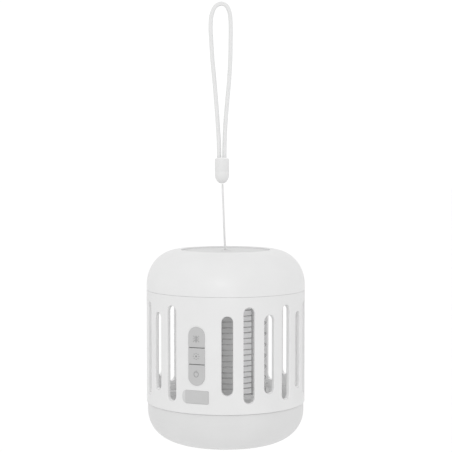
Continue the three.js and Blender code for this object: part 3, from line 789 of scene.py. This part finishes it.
def add_icon(name, lines, dots, middle, body):
    """A symbol of strokes and dots, a hair above its button."""
    shape = Shape()
    top, under = -0.53, -0.4
    for points, width in lines:
        left, right = stroke([(u, z + middle) for u, z in points], width)
        rings = [[wrapped(u, z, under) for u, z in left], [wrapped(u, z, top) for u, z in left],
                 [wrapped(u, z, top) for u, z in right], [wrapped(u, z, under) for u, z in right]]
        columns = list(zip(*rings))
        shape.skin([list(column) for column in columns], start="face", end="face")
    for u, z, radius in dots:
        ring = [(u + radius * cos(tau * k / 14), z + middle + radius * sin(tau * k / 14))
                for k in range(14)]
        shape.skin([[wrapped(a, b, depth) for a, b in ring] for depth in (under, top)],
                   start="face", end="face")
    piece(name, place(shape.points), shape.faces, ICON, body)


def add_buttons():
    half = BUTTON_HALF - 0.05
    small, proud, soft, flange_half = 0.35, 0.5, 0.35, 5.6
    large = half - 0.05
    corners = {"bottom": (large, large, small, small), "middle": (small, small, small, small),
               "top": (small, small, large, large)}
    for place_name, (low, high) in BUTTONS.items():
        a, b, c, d = corners[place_name]
        outline = fillet([(-half, low, a), (half, low, b), (half, high, c), (-half, high, d)], 10)
        rings, tip = plate_rings(outline, (0, (low + high) / 2), proud, soft, CAGE_WALL + 0.2)
        shape = Shape().skin(rings, start="face", end=tip)
        flange_low, flange_high = max(low, BUTTONS["bottom"][0] + 1), min(high, BUTTONS["top"][1] - 1)
        flange = fillet([(side * flange_half, z, 0.3) for side, z in
                         ((-1, flange_low), (1, flange_low), (1, flange_high), (-1, flange_high))])
        shape.skin([[wrapped(u, z, CAGE_WALL + depth) for u, z in flange] for depth in (0.35, 1.6)],
                   start="face", end="face")
        made = piece(f"button_cap_{place_name}", place(shape.points), shape.faces, BUTTON,
                     f"button_{place_name}")
        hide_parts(f"button_{place_name}")
    middles = {name: (low + high) / 2 for name, (low, high) in BUTTONS.items()}
    body = [([(0, -1.9), (0, 1.7)], 0.5)]
    legs = [([(side * 0.5, z), (side * 1.7, z + rise)], 0.26) for side in (-1, 1)
            for z, rise in ((0.6, 1.0), (0, 0), (-0.6, -1.0))]
    add_icon("icon_insect", body + legs, [], middles["top"] - 0.8, "button_top")
    rays = [(1.6 * cos(tau * k / 8), 1.6 * sin(tau * k / 8), 0.26) for k in range(8)]
    add_icon("icon_light", [], [(0, 0, 0.5), *rays], middles["middle"], "button_middle")
    ring = [(1.25 * cos(pi * 0.62 + tau * 0.88 * k / 40), 1.5 * sin(pi * 0.62 + tau * 0.88 * k / 40))
            for k in range(41)]
    add_icon("icon_power", [(ring, 0.3), ([(0, 0.7), (0, 2.0)], 0.3)], [], middles["bottom"] + 0.6,
             "button_bottom")


def add_flap():
    """The port's rubber flap, with a thinner finger tab on its left and a plug on its back."""
    middle = (FLAP_LOW + FLAP_TOP) / 2
    left, right, corner = -FLAP_LEFT, FLAP_RIGHT, 0.8
    outline = fillet([(left, FLAP_LOW, corner), (right, FLAP_LOW, corner), (right, FLAP_TOP, corner),
                      (left, FLAP_TOP, corner)], 8)
    rings, tip = plate_rings(outline, ((left + right) / 2, middle), 0.3, 0.3, 0.9)
    shape = Shape().skin(rings, start="face", end=tip)
    plug_half, plug_rise = 4.1, 1.3
    plug = fillet([(side * plug_half, middle + end * plug_rise, corner) for side, end in
                   ((-1, -1), (1, -1), (1, 1), (-1, 1))])
    shape.skin([[wrapped(u, z, depth) for u, z in plug] for depth in (0.85, 2.0)],
               start="face", end="face")
    made = piece("port_cover", place(shape.points), shape.faces, RUBBER, "port_flap")
    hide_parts("port_flap")

    tab_reach, tab_half = 2.0, 3.4
    crescent = [(left + 0.5, middle - tab_half)] + [
        (left - tab_reach * sin(pi * k / 16), middle - tab_half * cos(pi * k / 16))
        for k in range(17)] + [(left + 0.5, middle + tab_half)]
    crescent = crescent[::-1]
    rings = [[wrapped(u, z, depth) for u, z in crescent] for depth in (0.02, -0.06)]
    rings.append([wrapped(u + (left - u) * 0.12, z + (middle - z) * 0.08, -0.14) for u, z in crescent])
    shape = Shape().skin(rings, start="face", end=wrapped(left, middle, -0.14))
    piece("pull_tab", place(shape.points), shape.faces, TAB, "port_flap")


# ---- Grid and core -------------------------------------------------------------------------------
def add_grid(name, first, radius, post_circle, first_post, cad_node):
    low = height("grid_holder_bottom", 1) + WIRE_MARGIN
    high = height("grid_holder_top", 0) - WIRE_MARGIN
    post_end = 0.5
    shape = Shape()
    for turn in range(first, WIRE_TURNS, 2):
        shape.torus(radius, WIRE_RADIUS, low + (high - low) * turn / (WIRE_TURNS - 1))
    for step in range(4):
        angle = radians(first_post + 90 * step)
        shape.rod(post_circle * sin(angle), -post_circle * cos(angle), POST_RADIUS, low - post_end,
                  high + post_end)
    made = piece(name, place(shape.points), shape.faces, WIRE, "lamp")
    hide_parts(cad_node)


# ---- Base ----------------------------------------------------------------------------------------
def add_base():
    flat, skirt, bulge = 22.0, 4.3, 2.17
    top, soft = -0.08, 0.6
    neck_outer = RADIUS - CAGE_WALL - SLIP
    neck_inner = neck_outer - NECK_WALL
    rise = -BASE_LOW - skirt
    outer = quarter(flat, -skirt, BASE_RADIUS - flat, -rise, bulge, 40)[::-1]
    inner = quarter(flat, -skirt, neck_inner - flat, -(rise - WALL), bulge, 24)
    groove_floor, groove_in, groove_out = BASE_LOW + 1.0, 13.7, 20.3
    profile = [
        (0, BASE_LOW), (groove_in - 0.2, BASE_LOW), (groove_in, BASE_LOW + 0.2),
        (groove_in, groove_floor),
        (groove_out, groove_floor), (groove_out, BASE_LOW + 0.2), (groove_out + 0.2, BASE_LOW),
        *outer, *edge(BASE_RADIUS - soft, top - soft, soft, 0),
        (neck_outer, top), (neck_outer, LUG_LOW - SLIP), (neck_inner, LUG_LOW - SLIP), *inner,
        (0, BASE_LOW + WALL),
    ]
    shape = Shape().lathe(profile, 192)
    made = piece("base_cup", place(shape.points), shape.faces, BASE, "base")
    paint_inside_light(made, 2.3, TRAY_PAINTED_LIGHT)
    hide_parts("base_tray")
    add_neck(neck_outer, neck_inner)


def add_neck(outer, inner):
    """The neck above its lower ring: three walls, each with an L-shaped way in for one of the lugs."""
    # Degrees from a lug to its stop on one side, and to its roof's end and the way in's end on the other.
    beside_lug, roof_end, way_in = 5.5, 16.5, 27.5
    soft, overlap = 0.25, 0.02
    for number, lug in enumerate(LUG_ANGLES):
        spans = [
            ((lug + beside_lug, lug + 120 - way_in), LUG_LOW - SLIP - overlap, NECK_TOP),
            ((lug - roof_end, lug + beside_lug + overlap), LUG_TOP + SLIP, NECK_TOP),
        ]
        for part, ((start, finish), low, high) in enumerate(spans):
            steps = 40
            rings = []
            for k in range(steps + 1):
                a = radians(start + (finish - start) * k / steps)
                section = [(inner, low), (outer, low), (outer, high - soft), (outer - soft, high),
                           (inner + soft, high), (inner, high - soft)]
                rings.append([(r * sin(a), -r * cos(a), z) for r, z in section])
            shape = Shape().skin(rings, start="face", end="face")
            made = piece(f"neck_wall_{number + 1}_{part + 1}", place(shape.points), shape.faces, BASE,
                         "base")
            paint_inside_light(made, 2.3, TRAY_PAINTED_LIGHT)


# ---- CAD parts that stay -------------------------------------------------------------------------
def finish_cad(names, material, edge_width=0.0):
    for name in names:
        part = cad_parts[name]
        part.data.materials.clear()
        part.data.materials.append(material)
        if edge_width:
            bevel = part.modifiers.new("soft_edges", "BEVEL")
            bevel.width = edge_width * MM
            bevel.segments = 3
            bevel.limit_method = "ANGLE"
            bevel.angle_limit = radians(40)


def finish_cad_parts():
    finish_cad(["chassis_deck", "battery_cradle", "grid_holder_bottom", "grid_holder_top",
                "control_pod"], INNER_PAINTED_GLOW, 0.25)
    finish_cad(["light_core"], CORE_PAINTED_GLOW, 0.8)
    finish_cad([f"uv_strip_{side}" for side in ("front", "right", "back", "left")], STRIP_PAINTED_GLOW, 0.1)
    finish_cad(["main_board", "button_board", "charge_board"], BOARD, 0.1)
    finish_cad(["hv_transformer", "hv_capacitor", "switch_bottom", "switch_middle", "switch_top"],
               BLACK, 0.2)
    finish_cad(["usb_socket", "deck_screw_1", "deck_screw_2", "deck_screw_3"], FIXING, 0.1)
    finish_cad(["battery_cell"], WRAP, 0.4)
    finish_cad(["foot_pad"], FOOT, 0.2)


# ---- Stage ---------------------------------------------------------------------------------------
def area_light(name, location, target, size, power):
    data = bpy.data.lights.new(name, "AREA")
    data.shape = "DISK"
    data.size = size
    data.energy = power
    light = bpy.data.objects.new(name, data)
    bpy.context.scene.collection.objects.link(light)
    light.location = location
    light.rotation_euler = (Vector(target) - Vector(location)).to_track_quat("-Z", "Y").to_euler()


def add_stage():
    """A pale floor well below the hanging lantern, a white surround and soft lamps."""
    floor_drop, floor_size = 0.62, 60.0
    mesh = bpy.data.meshes.new("floor")
    floor_z = SEAM_Z - floor_drop
    h = floor_size / 2
    mesh.from_pydata([(-h, -h, floor_z), (h, -h, floor_z), (h, h, floor_z), (-h, h, floor_z)], [],
                     [(0, 1, 2, 3)])
    floor = bpy.data.objects.new("floor", mesh)
    bpy.context.scene.collection.objects.link(floor)
    material, tree, surface, where = shader("floor_white", 0.9)
    tone = ramp(tree, noise(tree, where, 3.0), [(0.3, grey(0.97)), (0.7, grey(0.98))])
    tree.links.new(tone, surface.inputs["Base Color"])
    mesh.materials.append(material)

    world = bpy.data.worlds.new("surround")
    world.use_nodes = True
    bpy.context.scene.world = world
    background = world.node_tree.nodes["Background"]
    background.inputs["Color"].default_value = (1, 1, 1, 1)
    background.inputs["Strength"].default_value = 1.05
    middle, key_place = place([(0, 0, 60), (-90, -780, 330)])
    area_light("key", key_place, middle, size=0.3, power=0.9)
    bpy.context.scene.view_settings.view_transform = "Standard"


add_camera()
add_cords()
add_cap()
add_cage()
add_buttons()
add_flap()
add_grid("live_grid", 0, GRID_RADIUS, GRID_RADIUS + POST_RADIUS, FIRST_LIVE_POST, "grid_wires_live")
add_grid("return_grid", 1, RETURN_RADIUS, RETURN_RADIUS - POST_RADIUS, FIRST_RETURN_POST,
         "grid_wires_return")
add_base()
finish_cad_parts()
add_stage()
